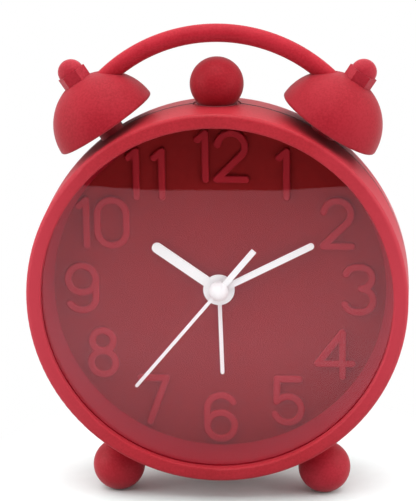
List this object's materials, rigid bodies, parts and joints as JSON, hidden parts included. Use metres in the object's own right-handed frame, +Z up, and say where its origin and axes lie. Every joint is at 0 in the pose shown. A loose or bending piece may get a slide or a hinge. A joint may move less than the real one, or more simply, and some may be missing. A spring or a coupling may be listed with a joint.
{
  "type": "twin-bell alarm clock",
  "caption": "Round red table alarm clock with a ring-framed dial of raised numbers, ball feet, half-ball bells with cap nuts, an arched handle and a ball-shaped snooze button on top",
  "frame": {"origin": "On the table plane, under the middle of the clock's width and depth.", "axes": "+Z is up, the dial faces -Y, and +X is to the right of someone who looks at the dial."},
  "size_m": [0.0926, 0.0386, 0.1172],
  "materials": {
    "red_soft": "matt soft silicone rubber",
    "red_shell": "matt soft-touch red plastic",
    "red_dial": "satin red plastic",
    "clear_lens": "clear polished acrylic",
    "white_hands": "white paint on stamped sheet",
    "grey_hand": "pale grey paint on stamped sheet",
    "black_knobs": "black plastic",
    "movement_plastic": "black moulded plastic",
    "gear_plastic": "natural acetal plastic",
    "spring_steel": "nickel-plated steel",
    "copper_wire": "enamelled copper wire",
    "circuit_green": "green solder mask on glass-fibre board",
    "battery_wrap": "printed film sleeve with no print",
    "buzzer_black": "black plastic capsule"
  },
  "bodies": {
    "clock": {"bell_left": "red_soft", "bell_right": "red_soft", "handle": "red_soft", "foot_front_left": "red_soft", "foot_front_right": "red_soft", "foot_rear": "red_soft", "cap_nut_left": "red_soft", "cap_nut_right": "red_soft", "front_shell": "red_shell", "rear_cover": "red_shell", "dial_ring": "red_shell", "bell_post_left": "red_shell", "bell_post_right": "red_shell", "dial": "red_dial", "lens": "clear_lens", "movement_front": "movement_plastic", "movement_back": "movement_plastic", "bridge_plate": "movement_plastic", "slide_switch": "movement_plastic", "snooze_switch": "movement_plastic", "button_spring": "spring_steel", "contact_plus": "spring_steel", "contact_minus": "spring_steel", "case_screws": "spring_steel", "stator": "spring_steel", "quartz_crystal": "spring_steel", "motor_coil": "copper_wire", "circuit_board": "circuit_green", "switch_board": "circuit_green", "battery": "battery_wrap", "buzzer": "buzzer_black"},
    "minute": {"cannon_pinion": "gear_plastic", "minute_hand": "white_hands"},
    "hour": {"hour_wheel": "gear_plastic", "hour_hand": "white_hands"},
    "time_setting": {"time_set_knob": "black_knobs", "minute_wheel": "gear_plastic"},
    "alarm": {"alarm_wheel": "gear_plastic", "alarm_hand": "grey_hand"},
    "alarm_setting": {"alarm_set_knob": "black_knobs", "alarm_pinion": "gear_plastic"},
    "seconds": {"seconds_wheel": "gear_plastic", "second_hand": "white_hands"},
    "third": {"third_wheel": "gear_plastic"},
    "motor_rotor": {"rotor": "gear_plastic"},
    "snooze": {"snooze_button": "red_soft"},
    "switch_slider": {"alarm_switch": "black_knobs"},
    "door": {"battery_door": "red_shell"}
  },
  "joints": [
    {"name": "time_set_turn", "type": "hinge", "parent": "clock", "child": "time_setting", "pos_m": [0.00693, 0.00068, 0.056], "axis": [0, 1, 0], "continuous": true},
    {"name": "minute_turn", "type": "hinge", "parent": "clock", "child": "minute", "pos_m": [0, -0.00032, 0.052], "axis": [0, 1, 0], "continuous": true},
    {"name": "hour_turn", "type": "hinge", "parent": "clock", "child": "hour", "pos_m": [0, -0.00183, 0.052], "axis": [0, 1, 0], "continuous": true},
    {"name": "alarm_set_turn", "type": "hinge", "parent": "clock", "child": "alarm_setting", "pos_m": [-0.00873, 0.00068, 0.056], "axis": [0, 1, 0], "continuous": true},
    {"name": "alarm_turn", "type": "hinge", "parent": "clock", "child": "alarm", "pos_m": [0, -0.00332, 0.052], "axis": [0, 1, 0], "continuous": true},
    {"name": "second_turn", "type": "hinge", "parent": "clock", "child": "seconds", "pos_m": [0, 0.00267, 0.052], "axis": [0, 1, 0], "continuous": true},
    {"name": "third_turn", "type": "hinge", "parent": "clock", "child": "third", "pos_m": [0, 0.00367, 0.059], "axis": [0, 1, 0], "continuous": true},
    {"name": "rotor_turn", "type": "hinge", "parent": "clock", "child": "motor_rotor", "pos_m": [0, 0.00468, 0.065], "axis": [0, 1, 0], "continuous": true},
    {"name": "snooze_press", "type": "slide", "parent": "clock", "child": "snooze", "axis": [0, 0, -1], "range_m": [0, 0.001], "stiffness_N_per_m": 400, "springref_m": -0.001, "deforming": ["button_spring"]},
    {"name": "alarm_switch_slide", "type": "slide", "parent": "clock", "child": "switch_slider", "axis": [1, 0, 0], "range_m": [0, 0.004]},
    {"name": "battery_door_pull", "type": "slide", "parent": "clock", "child": "door", "axis": [0, 1, 0], "range_m": [0, 0.02]}
  ],
  "couplings": [
    {"joint": "minute_turn", "follows": "time_set_turn", "ratio": -3},
    {"joint": "hour_turn", "follows": "time_set_turn", "ratio": -0.25},
    {"joint": "alarm_turn", "follows": "alarm_set_turn", "ratio": -0.5},
    {"joint": "third_turn", "follows": "second_turn", "ratio": -6},
    {"joint": "rotor_turn", "follows": "second_turn", "ratio": 30}
  ]
}
